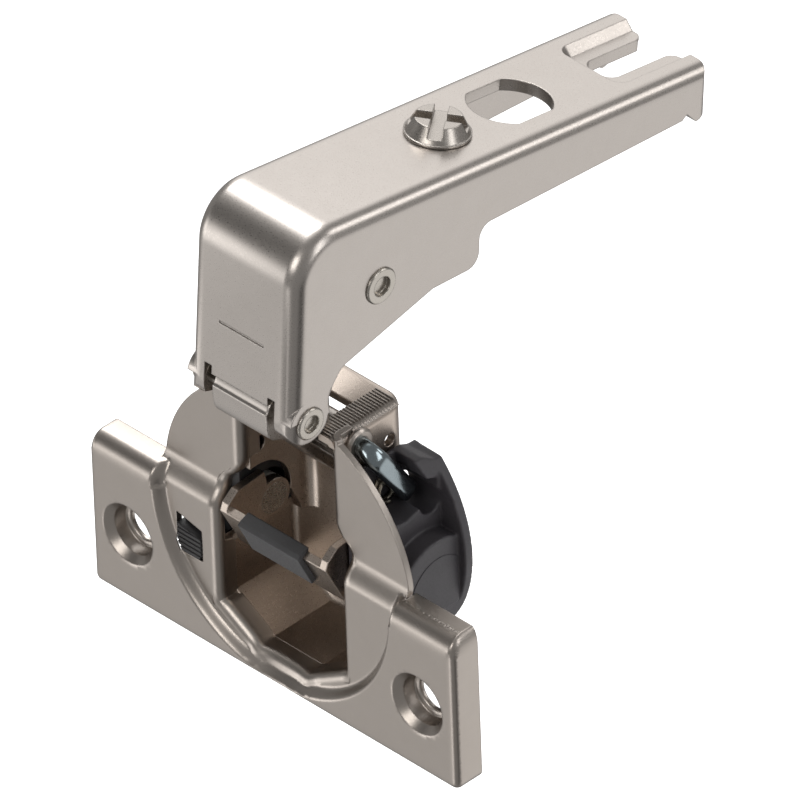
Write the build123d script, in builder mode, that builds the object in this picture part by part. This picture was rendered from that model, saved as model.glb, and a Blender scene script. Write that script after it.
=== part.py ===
import os
from math import atan2, cos, hypot, radians, sin
from build123d import *

os.makedirs("parts", exist_ok=True)

# Sizes in millimetres. X runs along the flange, Y goes into the door, Z is up.
# The origin is on the cup's axis, in the plane of the flange's front.

# Flange and cup
cup_sheet = 1.0
bore_r = 17.5
hole_pitch = 45.0
hole_drop = 9.5
hole_r = 2.15
sink_r = 3.9
wing_half = 28.3
wing_top = 1.8
wing_bottom = -18.3
door_plane = 3.9
wing_top_bend = 2.55
wing_low_bend = 2.0
wing_end_bend = 1.8
recess_depth = 1.3
recess_r = 18.3
recess_floor_r = 17.5
lobe_r = 19.0
lobe_front = 2.9
pot_half = 8.0
pot_top = 17.3
pot_back = 14.2
tub_half = 10.6
tub_bottom = -17.0
tub_shoulder = -5.0

# Deactivation switch slot, as X and Z in the recess
slot_left = -15.9
slot_right = -12.0
slot_top = -3.1
slot_bottom = -8.6

# Openings of the pot
link_gap_half = 5.4
link_gap_back = 9.3
peg_y = 5.6
peg_z = 7.8
peg_r = 1.1

# Linkage pivots, as (Y, Z)
q1_y = 6.4
q1_z = 15.2
q2_y = 11.8
q2_z = 7.1
e_y = -0.64
e_z = 21.8
f_y = 10.7
f_z = 34.25
wire_r = 1.05
run_fit = 0.05

# Lever pivot, as (Y, Z)
s_y = 7.9
s_z = -0.9
shaft_r = 1.5
spline_r = 1.9

# Arm
arm_half = 8.0
arm_sheet = 1.5
arm_tilt = 5.0
arm_front = -2.95
arm_top = 24.02
arm_fall = 0.069
arm_tip_r = 3.0
pin_r = 1.5
eye_r = 2.75
link_sheet = 1.2
low_eye_r = 2.4
inner_half = 4.2
outer_half = 5.0
screw_s = 26.6
d_hole_s = 37.8
fork_s = 50.0
arm_end = 61.1
notch_in = 4.3
notch_out = 5.4
fork_half = 4.9
fork_slot_half = 2.2
fork_sink = 1.1
fork_slope = 42.0
fork_pad = 2.3
wall_low = 14.35
step_s = 25.5
step_drop = 5.0
hook_drop = 1.05
leg_rear = 2.75
lip_t = 1.75
thread_r = 2.9
cover_r = 4.2


def front(y):
    return Plane(origin=(0, y, 0), x_dir=(1, 0, 0), z_dir=(0, -1, 0))


def save(builder, name):
    builder.part.label = name
    export_step(builder.part, "parts/" + name + ".step")


# Flange: the tray of the two wings
with BuildPart() as tray_outer:
    with BuildSketch(Plane.YZ):
        with BuildLine():
            Polyline(
                (door_plane, wing_top),
                (0, wing_top),
                (0, wing_bottom),
                (door_plane, wing_bottom),
                close=True,
            )
        make_face()
        fillet(vertices().filter_by(lambda v: v.Y > 0 and v.X < 0.1), wing_top_bend)
        fillet(vertices().filter_by(lambda v: v.Y < -17 and v.X < 0.1), wing_low_bend)
    extrude(amount=wing_half, both=True)
    ends = faces().sort_by(Axis.X)
    rims = ends[0].edges() + ends[-1].edges()
    fillet(rims.filter_by(lambda e: (e @ 0.5).Y < door_plane - 0.01), wing_end_bend)

with BuildPart() as tray_inner:
    with BuildSketch(Plane.YZ):
        with BuildLine():
            Polyline(
                (door_plane + 1, wing_top - cup_sheet),
                (cup_sheet, wing_top - cup_sheet),
                (cup_sheet, wing_bottom + cup_sheet),
                (door_plane + 1, wing_bottom + cup_sheet),
                close=True,
            )
        make_face()
        fillet(vertices().filter_by(lambda v: v.Y > 0 and v.X < 1.1), wing_top_bend - cup_sheet)
        fillet(vertices().filter_by(lambda v: v.Y < -17 and v.X < 1.1), wing_low_bend - cup_sheet)
    extrude(amount=wing_half - cup_sheet, both=True)
    ends = faces().sort_by(Axis.X)
    rims = ends[0].edges() + ends[-1].edges()
    fillet(rims.filter_by(lambda e: (e @ 0.5).Y < door_plane + 0.99), wing_end_bend - cup_sheet)

# Flange: the bend from the recess floor back to the lobes
bend_low = 0.5
bend_high = 2.7
with BuildPart() as shoulder:
    with BuildSketch(Plane.YZ):
        with BuildLine():
            face_line = Spline(
                (recess_depth, bend_low - 0.6),
                (lobe_front, bend_high + 0.4),
                tangents=((0, 1), (0, 1)),
            )
            Line(face_line @ 1, (lobe_front + cup_sheet, bend_high + 0.4))
            back_line = Spline(
                (lobe_front + cup_sheet, bend_high + 0.4),
                (recess_depth + cup_sheet, bend_low - 0.6),
                tangents=((0, -1), (0, -1)),
            )
            Line(back_line @ 1, face_line @ 0)
        make_face()
    extrude(amount=recess_r + 1, both=True)
    with BuildSketch(front(-1)):
        Circle((recess_r + lobe_r) / 2)
    extrude(amount=-6, mode=Mode.INTERSECT)

# Pot: outside and hollow
with BuildPart() as pot_outer:
    with BuildSketch(front(lobe_front)):
        with Locations((0, (pot_top + tub_shoulder - 1) / 2)):
            Rectangle(2 * pot_half, pot_top - tub_shoulder + 1)
    extrude(amount=-(pot_back - lobe_front))
    fillet(edges().filter_by(Axis.Z).group_by(Axis.Y)[-1], 2.6)
    fillet(faces().sort_by(Axis.Z)[-1].edges().filter_by(lambda e: (e @ 0.5).Y > lobe_front + 0.1), 1.2)

with BuildPart() as tub_outer:
    with BuildSketch(front(recess_depth)):
        with BuildLine():
            Polyline(
                (pot_half - 1, tub_shoulder + 1.6),
                (pot_half, tub_shoulder + 1.6),
                (tub_half - 1.4, tub_shoulder + 1.2),
                (tub_half, tub_shoulder - 0.2),
                (tub_half, -13.0),
                (4.2, tub_bottom),
                (-4.2, tub_bottom),
                (-tub_half, -13.0),
                (-tub_half, tub_shoulder - 0.2),
                (-tub_half + 1.4, tub_shoulder + 1.2),
                (-pot_half, tub_shoulder + 1.6),
                (-pot_half + 1, tub_shoulder + 1.6),
                close=True,
            )
        make_face()
    extrude(amount=-(pot_back - recess_depth))
    fillet(faces().sort_by(Axis.Y)[-1].edges().filter_by(lambda e: (e @ 0.5).Z < tub_shoulder), 1.6)

with BuildPart() as pot_inner:
    with BuildSketch(front(-1)):
        with Locations((0, (pot_top - cup_sheet + tub_shoulder - 2) / 2)):
            Rectangle(2 * (pot_half - cup_sheet), pot_top - cup_sheet - tub_shoulder + 2)
    extrude(amount=-(pot_back - cup_sheet + 1))
    fillet(edges().filter_by(Axis.Z).group_by(Axis.Y)[-1], 1.6)

with BuildPart() as tub_inner:
    with BuildSketch(front(-1)):
        with BuildLine():
            Polyline(
                (pot_half - 2, tub_shoulder + 0.5),
                (pot_half - 1, tub_shoulder + 0.5),
                (tub_half - 2, tub_shoulder + 0.3),
                (tub_half - 1, tub_shoulder - 0.7),
                (tub_half - 1, -12.5),
                (3.8, tub_bottom + 1),
                (-3.8, tub_bottom + 1),
                (-tub_half + 1, -12.5),
                (-tub_half + 1, tub_shoulder - 0.7),
                (-tub_half + 2, tub_shoulder + 0.3),
                (-pot_half + 1, tub_shoulder + 0.5),
                (-pot_half + 2, tub_shoulder + 0.5),
                close=True,
            )
        make_face()
    extrude(amount=-(pot_back - cup_sheet + 1))
    fillet(faces().sort_by(Axis.Y)[-1].edges().filter_by(lambda e: (e @ 0.5).Z < tub_shoulder - 1), 0.9)

# The window in the flange, wider than the hollow behind it
with BuildPart() as window:
    with BuildSketch(front(-1)):
        with BuildLine():
            Polyline(
                (tub_half - 0.3, 2.3),
                (tub_half - 0.3, -12.7),
                (4.6, tub_bottom + 0.4),
                (-4.6, tub_bottom + 0.4),
                (-tub_half + 0.3, -12.7),
                (-tub_half + 0.3, 2.3),
                (-7.2, 5.8),
                (7.2, 5.8),
                close=True,
            )
        make_face()
        fillet(vertices().filter_by(lambda v: v.Y < -10), 1.5)
    extrude(amount=-(1 + lobe_front + cup_sheet))

# The window in each side wall of the pot, where the lever's cheek swings
with BuildPart() as cheek_window:
    with BuildSketch(Plane.YZ):
        with Locations((5.3, 0)):
            Circle(5.1)
        with BuildLine():
            Polyline(
                (s_y, s_z),
                (0.6, -2.0),
                (0.9, tub_shoulder - 0.3),
                (12.1, tub_shoulder - 0.3),
                (11.7, tub_shoulder + 1.2),
                (10.35, s_z),
                close=True,
            )
        make_face()
    extrude(amount=pot_half + 0.5, both=True)

# Step ring round the recess, and the recess floor
with BuildPart() as ring:
    with BuildSketch(front(0.3)):
        Circle(recess_r + 0.9)
        Circle(recess_floor_r - 0.8, mode=Mode.SUBTRACT)
    extrude(amount=-(recess_depth + cup_sheet - 0.3))
    add(tray_outer.part, mode=Mode.INTERSECT)
    with BuildSketch(front(-1)):
        with Locations((0, bend_low + 10)):
            Rectangle(60, 20)
    extrude(amount=-8, mode=Mode.SUBTRACT)

with BuildPart() as floor_plate:
    with BuildSketch(front(recess_depth)):
        Circle(recess_floor_r)
        with Locations((0, bend_low + 9.6)):
            Rectangle(60, 20, mode=Mode.SUBTRACT)
    extrude(amount=-cup_sheet)

with BuildPart() as sink_tubes:
    with Locations((-hole_pitch / 2, 1.6, -hole_drop), (hole_pitch / 2, 1.6, -hole_drop)):
        Cylinder(3.6, 3.2, rotation=(90, 0, 0))

with BuildPart() as cup:
    add(tray_outer.part)
    add(tray_inner.part, mode=Mode.SUBTRACT)
    add(ring.part)
    with Locations((0, recess_depth / 2, 0)):
        Cone(
            bottom_radius=recess_floor_r,
            top_radius=recess_r,
            height=recess_depth,
            rotation=(90, 0, 0),
            mode=Mode.SUBTRACT,
        )
    # everything of the tray above the recess makes room for the shoulder
    with BuildSketch(front(-1)):
        with Locations((0, bend_low + 3.8)):
            Rectangle(2 * 17.9, 8)
    extrude(amount=-8, mode=Mode.SUBTRACT)
    add(floor_plate.part)
    add(shoulder.part)
    with BuildSketch(front(lobe_front)):
        Circle(lobe_r)
        with Locations((0, bend_high + 0.3 - 20)):
            Rectangle(60, 40, mode=Mode.SUBTRACT)
    extrude(amount=-cup_sheet)
    with BuildSketch(front(lobe_front - 1)):
        with Locations((0, 12)):
            Rectangle(2 * pot_half, 16)
    extrude(amount=-4, mode=Mode.SUBTRACT)
    add(pot_outer.part)
    add(tub_outer.part)
    with BuildSketch(front(recess_depth - 2)):
        with Locations((0, (bend_low + 2.2 + tub_shoulder) / 2)):
            Rectangle(2 * pot_half - 2, bend_low + 2.2 - tub_shoulder)
    extrude(amount=-4, mode=Mode.SUBTRACT)
    add(window.part, mode=Mode.SUBTRACT)
    add(pot_inner.part, mode=Mode.SUBTRACT)
    add(tub_inner.part, mode=Mode.SUBTRACT)
    add(cheek_window.part, mode=Mode.SUBTRACT)

    # screw holes with formed countersinks
    add(sink_tubes.part)
    for side in (-1, 1):
        with Locations((side * hole_pitch / 2, 0.45, -hole_drop)):
            Cone(3.1, sink_r, 0.9, rotation=(90, 0, 0), mode=Mode.SUBTRACT)
        with Locations((side * hole_pitch / 2, 1.7, -hole_drop)):
            Cylinder(3.1, 1.8, rotation=(90, 0, 0), mode=Mode.SUBTRACT)
        with Locations((side * hole_pitch / 2, 2.8, -hole_drop)):
            Cylinder(hole_r, 5, rotation=(90, 0, 0), mode=Mode.SUBTRACT)
    # slot for the deactivation switch
    with BuildSketch(front(0)):
        with BuildLine():
            Polyline(
                (slot_left, slot_top - 0.4),
                (slot_right, slot_top - 1.3),
                (slot_right, slot_bottom),
                (slot_left + 0.6, slot_bottom),
                (slot_left, slot_bottom + 1.2),
                close=True,
            )
        make_face()
        fillet(vertices().filter_by(lambda v: v.Y < slot_bottom + 0.1), 0.8)
    extrude(amount=-4, mode=Mode.SUBTRACT)
    # the outer link's way through the pot's top
    with BuildSketch(Plane.XY.offset(pot_top - 2)):
        with Locations((0, (link_gap_back + 1) / 2)):
            Rectangle(2 * link_gap_half, link_gap_back - 1)
    extrude(amount=4, mode=Mode.SUBTRACT)
    # opening in the pot's back behind the links
    with BuildSketch(front(pot_back - 2)):
        with Locations((0, 8.5)):
            RectangleRounded(13.2, 10, 1.5)
    extrude(amount=-3, mode=Mode.SUBTRACT)
    # holes for the double cup pin and the housings' pegs
    for hole_y, hole_z, radius in (
        (q1_y, q1_z, wire_r),
        (q2_y, q2_z, wire_r),
        (peg_y, peg_z, peg_r),
        (11.2, 13.0, 0.8),
    ):
        with Locations((0, hole_y, hole_z)):
            Cylinder(radius, 2 * pot_half + 1, rotation=(0, 90, 0), mode=Mode.SUBTRACT)

save(cup, "cup")

# Linkage angles, from rest to closed, in degrees about +X
inner_turn = 105.0
outer_turn = 138.5
arm_turn = 95.0
lever_turn = 92.0

# Double cup pin: one wire bent to a U, its legs on the two link pivots
leg_angle = atan2(q2_z - q1_z, q2_y - q1_y)
leg_gap = hypot(q2_z - q1_z, q2_y - q1_y)
pin_plane = Plane(
    origin=(0, q1_y, q1_z),
    x_dir=(0, cos(leg_angle), sin(leg_angle)),
    z_dir=(0, sin(leg_angle), -cos(leg_angle)),
)
wire_start = -8.2
wire_out = 9.9
with BuildPart() as cup_pin:
    with BuildLine(pin_plane) as pin_path:
        corners = FilletPolyline(
            (0, wire_start),
            (0, wire_out),
            (leg_gap, wire_out),
            (leg_gap, wire_start),
            radius=1.9,
        )
    with BuildSketch(Plane(origin=corners @ 0, z_dir=corners % 0)):
        Circle(wire_r)
    sweep()
save(cup_pin, "cup_pin")

with BuildPart() as pin_collar:
    with BuildSketch(Plane.YZ.offset(pot_half)):
        with Locations((q1_y, q1_z)):
            Circle(1.95)
            Circle(wire_r, mode=Mode.SUBTRACT)
    extrude(amount=0.6)
    chamfer(faces().sort_by(Axis.X)[-1].edges().sort_by(SortBy.LENGTH)[-1], 0.3)
save(pin_collar, "cup_pin_collar")


# Inner link: a plate rolled into an eye at each end
dx = q2_y - e_y
dz = q2_z - e_z
span = hypot(dx, dz)
ux = dx / span
uz = dz / span
nx = uz
nz = -ux
with BuildPart() as inner_link:
    with BuildSketch(Plane.YZ):
        with BuildLine():
            Polyline(
                (e_y + nx * eye_r, e_z + nz * eye_r),
                (q2_y + nx * low_eye_r, q2_z + nz * low_eye_r),
                (q2_y + nx * (low_eye_r - link_sheet), q2_z + nz * (low_eye_r - link_sheet)),
                (e_y + nx * (eye_r - link_sheet), e_z + nz * (eye_r - link_sheet)),
                close=True,
            )
        make_face()
        with Locations((e_y, e_z)):
            Circle(eye_r)
        with Locations((q2_y, q2_z)):
            Circle(low_eye_r)
        with Locations((e_y, e_z)):
            Circle(pin_r + run_fit, mode=Mode.SUBTRACT)
        with Locations((q2_y, q2_z)):
            Circle(wire_r + run_fit, mode=Mode.SUBTRACT)
    extrude(amount=inner_half, both=True)
save(inner_link, "inner_link")

# Outer link: a rolled eye below, a front web and two cheeks with a slot for the upper pin
def turned(y, z, centre_y, centre_z, degrees_x):
    turn = radians(degrees_x)
    dy = y - centre_y
    dz = z - centre_z
    return (
        centre_y + dy * cos(turn) - dz * sin(turn),
        centre_z + dy * sin(turn) + dz * cos(turn),
    )


def pin_place(share):
    now_e = turned(e_y, e_z, q2_y, q2_z, inner_turn * share)
    moved_f = turned(f_y, f_z, e_y, e_z, arm_turn * share)
    now_f = (moved_f[0] + now_e[0] - e_y, moved_f[1] + now_e[1] - e_z)
    return turned(now_f[0], now_f[1], q1_y, q1_z, -outer_turn * share)


pin_path = [pin_place(k / 8) for k in range(9)]
slot_play = 0.2
slot_rim = 1.1
out_eye_r = 2.05
with BuildPart() as outer_link:
    with BuildSketch(Plane.YZ):
        with BuildLine():
            Polyline(
                (q1_y - out_eye_r, q1_z),
                (q1_y - out_eye_r - 0.1, 22.0),
                (pin_path[4][0] - 2.4, pin_path[3][1]),
                (f_y, f_z),
                (f_y + 2.6, f_z - 1.0),
                (7.4, 24.8),
                (5.2, 20.6),
                (5.2, q1_z),
                close=True,
            )
        make_face()
        with Locations((q1_y, q1_z)):
            Circle(out_eye_r)
        with BuildSketch(mode=Mode.PRIVATE) as rim:
            with Locations(*pin_path):
                Circle(pin_r + slot_play + slot_rim)
            make_hull()
        add(rim.sketch)
        with BuildSketch(mode=Mode.PRIVATE) as room:
            with Locations(*pin_path):
                Circle(pin_r + slot_play)
            make_hull()
        add(room.sketch, mode=Mode.SUBTRACT)
        with Locations((f_y, pin_path[8][1] + 5)):
            Rectangle(16, 10, mode=Mode.SUBTRACT)
        with Locations((q1_y, q1_z)):
            Circle(wire_r + run_fit, mode=Mode.SUBTRACT)
    extrude(amount=outer_half, both=True)
    # the room between the cheeks, open to the rear and above
    with BuildSketch(Plane.YZ):
        with BuildLine():
            Polyline(
                (5.2, 20.6),
                (pin_path[4][0] - 1.4, pin_path[3][1] - 2.6),
                (pin_path[4][0] - 6.0, pin_path[3][1] - 1.0),
                (pin_path[4][0] - 6.0, 44.0),
                (18.0, 44.0),
                (18.0, 20.6),
                close=True,
            )
        make_face()
    extrude(amount=outer_half - cup_sheet, both=True, mode=Mode.SUBTRACT)
save(outer_link, "outer_link")

# Arm: one sheet folded to a channel, leg in front and a long top
tilt = radians(arm_tilt)
arm_plane = Plane(
    origin=(0, e_y, e_z),
    x_dir=(0, cos(tilt), -sin(tilt)),
    z_dir=(1, 0, 0),
)


def arm_line(s):
    return arm_top - arm_fall * s


def arm_point(s, t):
    return (0, e_y + s * cos(tilt) + t * sin(tilt), e_z - s * sin(tilt) + t * cos(tilt))


def on_outer_bend(edge):
    p = arm_plane.to_local_coords(edge @ 0.5)
    if abs(abs(p.Z) - arm_half) > 0.01:
        return False
    in_front = p.X < arm_front + 3.5 and p.Y > 0.01
    on_top = p.Y > arm_line(p.X) - 2.5
    return in_front or on_top


def top_plane(s):
    slope = tilt + atan2(arm_fall, 1)
    return Plane(
        origin=arm_point(s, arm_line(s)),
        x_dir=(0, cos(slope), -sin(slope)),
        z_dir=(0, sin(slope), cos(slope)),
    )


# Two small notches beside the front's lower edge, one at each side
notches = []
for side in (-1, 1):
    with BuildPart() as notch_block:
        with BuildSketch(arm_plane.offset(side * (notch_in + notch_out) / 2)):
            with Locations((arm_front, lip_t - 2.9)):
                Rectangle(3.6, 8)
        extrude(amount=(notch_out - notch_in) / 2, both=True)
    notches.append(notch_block.part)

with BuildPart() as arm:
    with BuildSketch(arm_plane):
        with BuildLine():
            Polyline(
                (arm_front, 0),
                (arm_front, arm_line(arm_front)),
                (arm_end, arm_line(arm_end)),
                (arm_end, wall_low - hook_drop + 0.6),
                (arm_end - 1.9, wall_low - hook_drop),
                (arm_end - 3.4, wall_low + 0.55),
                (arm_end - 4.1, wall_low),
                (step_s, wall_low),
                (step_s, wall_low - step_drop),
                (step_s - 7.0, wall_low - step_drop),
                (4.6, 5.2),
                (leg_rear, 2.6),
                (leg_rear, 0),
                close=True,
            )
        make_face()
        fillet(vertices().filter_by(lambda v: v.X < 0 and v.Y > 20), 6.0)
        fillet(vertices().filter_by(lambda v: abs(v.X - step_s) < 0.01), 1.7)
        fillet(vertices().filter_by(lambda v: 4 < v.X < step_s - 6.9), 2.0)
        fillet(vertices().filter_by(lambda v: abs(v.X - leg_rear) < 0.01 and v.Y > 2), 1.8)
        fillet(vertices().filter_by(lambda v: abs(v.X - arm_end + 1.9) < 0.01), 0.5)
        with Locations((0, 0)):
            Circle(arm_tip_r)
    extrude(amount=arm_half, both=True)
    fillet(edges().filter_by(on_outer_bend), 2.0)
    with BuildSketch(arm_plane):
        with BuildLine():
            Polyline(
                (arm_front + arm_sheet, -8),
                (arm_front + arm_sheet, arm_line(arm_front) - arm_sheet),
                (arm_end + 8, arm_line(arm_end + 8) - arm_sheet),
                (arm_end + 8, -8),
                close=True,
            )
        make_face()
        fillet(vertices().filter_by(lambda v: v.X < 0 and v.Y > 20), 4.5)
    extrude(amount=arm_half - arm_sheet, both=True, mode=Mode.SUBTRACT)
    # the leg's lower edge: room for the inner link's eye, a step and two small notches
    with BuildSketch(arm_plane):
        with Locations((0, 0)):
            Circle(eye_r + 0.1)
    extrude(amount=arm_half - arm_sheet, both=True, mode=Mode.SUBTRACT)
    with BuildSketch(arm_plane):
        with Locations((arm_front, lip_t - 4.0)):
            Rectangle(3.6, 8)
    extrude(amount=notch_out, both=True, mode=Mode.SUBTRACT)
    for notch in notches:
        add(notch, mode=Mode.SUBTRACT)
    # pressed mark on the leg
    with BuildSketch(arm_plane):
        with Locations((arm_front, 9.0)):
            Rectangle(0.3, 0.3)
    extrude(amount=3.4, both=True, mode=Mode.SUBTRACT)
    # pad under the fork, then its sunk face with sloped sides, and its slot
    with BuildSketch(top_plane(fork_s).offset(-0.8)):
        with Locations(((arm_end - fork_s) / 2 - 0.3, 0)):
            Rectangle(arm_end - fork_s - 0.7, 2 * (fork_half + 0.6))
    extrude(amount=0.8 - fork_pad - 0.3)
    with BuildSketch(top_plane(fork_s)):
        with Locations(((arm_end - fork_s) / 2 + 2, 0)):
            Rectangle(arm_end - fork_s + 4, 2 * fork_half)
        fillet(vertices().filter_by(lambda v: v.X < 1), 1.6)
    extrude(amount=-fork_sink, taper=fork_slope, mode=Mode.SUBTRACT)
    with BuildSketch(top_plane(fork_s)):
        with Locations((9.9, 0)):
            Rectangle(17, 2 * fork_slot_half)
        fillet(vertices().filter_by(lambda v: v.X < 5), 1.5)
    extrude(amount=-4, mode=Mode.SUBTRACT)
    # thread for the screw and the D-shaped hole
    with BuildSketch(top_plane(screw_s)):
        Circle(thread_r)
    extrude(amount=-4, mode=Mode.SUBTRACT)
    with BuildSketch(top_plane(d_hole_s)):
        Circle(4.85)
        Rectangle(12, 8.16, mode=Mode.INTERSECT)
    extrude(amount=-4, mode=Mode.SUBTRACT)
    # holes for the two arm pins
    for hole_y, hole_z in ((e_y, e_z), (f_y, f_z)):
        with Locations((0, hole_y, hole_z)):
            Cylinder(pin_r, 2 * arm_half + 2, rotation=(0, 90, 0), mode=Mode.SUBTRACT)
save(arm, "arm")

# The two arm pins, staked at both ends
for name, pin_y, pin_z, head_r in (
    ("lower_arm_pin", e_y, e_z, 1.95),
    ("upper_arm_pin", f_y, f_z, 2.2),
):
    with BuildPart() as pin:
        with Locations((0, pin_y, pin_z)):
            Cylinder(pin_r, 2 * arm_half, rotation=(0, 90, 0))
        for side in (-1, 1):
            with Locations((side * (arm_half + 0.15), pin_y, pin_z)):
                Cylinder(head_r, 0.3, rotation=(0, 90, 0))
        chamfer(edges().filter_by(GeomType.CIRCLE).filter_by(lambda e: abs(abs((e @ 0).X) - arm_half - 0.3) < 0.01), 0.15)
        for side in (-1, 1):
            with Locations((side * (arm_half + 0.1), pin_y, pin_z)):
                Cylinder(head_r * 0.55, 0.7, rotation=(0, 90, 0), mode=Mode.SUBTRACT)
    save(pin, name)

# Side adjusting screw
screw_plane = top_plane(screw_s)
with BuildPart() as screw:
    with BuildSketch(screw_plane.offset(run_fit)):
        Circle(3.8)
    extrude(amount=0.35 - run_fit)
    with BuildSketch(screw_plane.offset(0.35)):
        Circle(3.65)
    with BuildSketch(screw_plane.offset(2.05)):
        Circle(2.75)
    loft()
    with BuildSketch(screw_plane):
        Circle(thread_r - run_fit)
    extrude(amount=-9.0)
    with BuildSketch(screw_plane.offset(-9.0)):
        Circle(thread_r - run_fit)
    extrude(amount=-1.4, taper=30)
    with BuildSketch(screw_plane.offset(0.9)):
        with Locations(Location((0, 0), 37)):
            Rectangle(10, 1.6)
            Rectangle(1.6, 10)
    extrude(amount=2, mode=Mode.SUBTRACT)
save(screw, "side_adjusting_screw")

# Damper lever: web in front, two cheeks on the shaft
web_top_y = 0.65
web_top_z = 0.9
web_low_y = 3.5
web_low_z = -4.8
web_dir = atan2(web_low_z - web_top_z, web_low_y - web_top_y)
wy = cos(web_dir)
wz = sin(web_dir)
lever_half = 8.2
with BuildPart() as lever:
    with BuildSketch(Plane.YZ):
        with BuildLine():
            Polyline(
                (web_top_y, web_top_z),
                (web_top_y + 0.4, web_top_z + 1.0),
                (2.5, 3.0),
                (6.6, 3.3),
                (7.0, 1.4),
                (s_y, s_z),
                (s_y - 0.8, s_z - 2.2),
                (web_low_y, web_low_z),
                close=True,
            )
        make_face()
        with Locations((s_y, s_z)):
            Circle(2.45)
    extrude(amount=lever_half, both=True)
    with BuildSketch(Plane.YZ):
        with BuildLine():
            Polyline(
                (web_top_y - wz * cup_sheet - wy * 9, web_top_z + wy * cup_sheet - wz * 9),
                (web_low_y - wz * cup_sheet + wy * 9, web_low_z + wy * cup_sheet + wz * 9),
                (20, -8),
                (20, 8),
                close=True,
            )
        make_face()
    extrude(amount=lever_half - cup_sheet, both=True, mode=Mode.SUBTRACT)
    with BuildSketch(Plane.YZ):
        with BuildLine():
            Polyline(
                (web_top_y - 2, web_top_z + 0.1),
                (web_top_y, web_top_z + 0.1),
                (web_top_y - wz * cup_sheet, web_top_z + 0.1 + wy * cup_sheet),
                (9, 6),
                (-2, 6),
                close=True,
            )
        make_face()
    extrude(amount=lever_half - cup_sheet, both=True, mode=Mode.SUBTRACT)
    with Locations((0, s_y, s_z)):
        Cylinder(spline_r, 20, rotation=(0, 90, 0), mode=Mode.SUBTRACT)
save(lever, "damper_lever")

# Lever bumper, a strip over the web's top edge and front
bumper_half = 4.66
bumper_thick = 0.75
with BuildPart() as bumper:
    with BuildSketch(Plane.YZ):
        with BuildLine():
            Polyline(
                (web_top_y, web_top_z),
                (web_top_y + wy * 4.3, web_top_z + wz * 4.3),
                (web_top_y + wy * 4.3 + wz * bumper_thick, web_top_z + wz * 4.3 - wy * bumper_thick),
                (web_top_y + wz * bumper_thick - 0.1, web_top_z - wy * bumper_thick + 0.5),
                (web_top_y - 0.35, web_top_z + 0.55),
                (web_top_y + 0.9, web_top_z + 1.05),
                (web_top_y - wz * cup_sheet, web_top_z + wy * cup_sheet),
                close=True,
            )
        make_face()
    extrude(amount=bumper_half, both=True)
    add(lever.part, mode=Mode.SUBTRACT)
save(bumper, "lever_bumper")

# Lever stub shafts, riveted into the cheeks and carried by the two housings
shaft_left = -14.0
shaft_right = 13.6
for name, outer_end, side in (
    ("damper_shaft", shaft_right, 1),
    ("lever_pivot", -shaft_left, -1),
):
    with BuildPart() as stub:
        with BuildSketch(Plane.YZ.offset(side * (lever_half - cup_sheet))):
            with Locations((s_y, s_z)):
                Circle(spline_r)
        extrude(amount=side * cup_sheet)
        with BuildSketch(Plane.YZ.offset(side * lever_half)):
            with Locations((s_y, s_z)):
                Circle(shaft_r)
        extrude(amount=side * (outer_end - lever_half))
    save(stub, name)

# Right housing: wall beside the pot, drum for the damper
house_in = 8.4
house_face = 13.5
house_back = 14.5
house_front = 3.95
house_r = 17.1
drum_y = 10.2
drum_z = -2.8
drum_r = 6.5
drum_end = 16.0
chamber_r = 2.6
coil_y = 6.6
coil_z = 9.5
with BuildPart() as tub_room:
    with BuildSketch(front(0)):
        with BuildLine():
            Polyline(
                (0, tub_shoulder + 1.75),
                (pot_half + 0.1, tub_shoulder + 1.75),
                (tub_half - 1.33, tub_shoulder + 1.33),
                (tub_half + 0.1, tub_shoulder - 0.1),
                (tub_half + 0.1, -30),
                (0, -30),
                close=True,
            )
        make_face()
    extrude(amount=-30)

with BuildPart() as house_right:
    with BuildSketch(Plane.YZ.offset(house_in)):
        with BuildLine():
            Polyline(
                (house_front, -14.0),
                (house_front, 10.2),
                (6.2, 12.0),
                (12.0, 12.0),
                (house_back, 9.5),
                (house_back, -9.0),
                (12.0, -14.0),
                close=True,
            )
        make_face()
        fillet(vertices().filter_by(lambda v: v.X > 10), 1.5)
    extrude(amount=house_face - house_in)
    with BuildSketch(Plane.YZ.offset(house_in)):
        with Locations((drum_y, drum_z)):
            Circle(drum_r)
        with Locations((house_front - 6, 0), (house_back + 6, 0)):
            Rectangle(12, 60, mode=Mode.SUBTRACT)
    extrude(amount=drum_end - house_in)
    with BuildSketch(front(-1)):
        Circle(house_r)
    extrude(amount=-30, mode=Mode.INTERSECT)
    add(tub_room.part, mode=Mode.SUBTRACT)
    # room for the cup pin's bridge and the coil behind it
    with BuildSketch(Plane.YZ.offset(house_in - 0.5)):
        with BuildLine():
            Polyline(
                (4.0, 20.0),
                (4.3, 8.6),
                (5.6, 6.9),
                (8.2, 6.4),
                (10.6, 4.9),
                (13.4, 5.7),
                (13.6, 8.0),
                (11.0, 20.0),
                close=True,
            )
        make_face()
        fillet(vertices().filter_by(lambda v: v.Y < 12), 1.0)
    extrude(amount=house_face, mode=Mode.SUBTRACT)
    # damper chamber and the shaft's seat
    with BuildSketch(Plane.YZ.offset(house_in - 0.5)):
        with Locations((s_y, s_z)):
            Circle(chamber_r)
    extrude(amount=6.0, mode=Mode.SUBTRACT)
    # seat for the cover disc
    with BuildSketch(Plane.YZ.offset(drum_end - 0.6)):
        with Locations((drum_y, drum_z)):
            Circle(cover_r)
    extrude(amount=2.0, mode=Mode.SUBTRACT)
save(house_right, "damper_housing")

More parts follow.
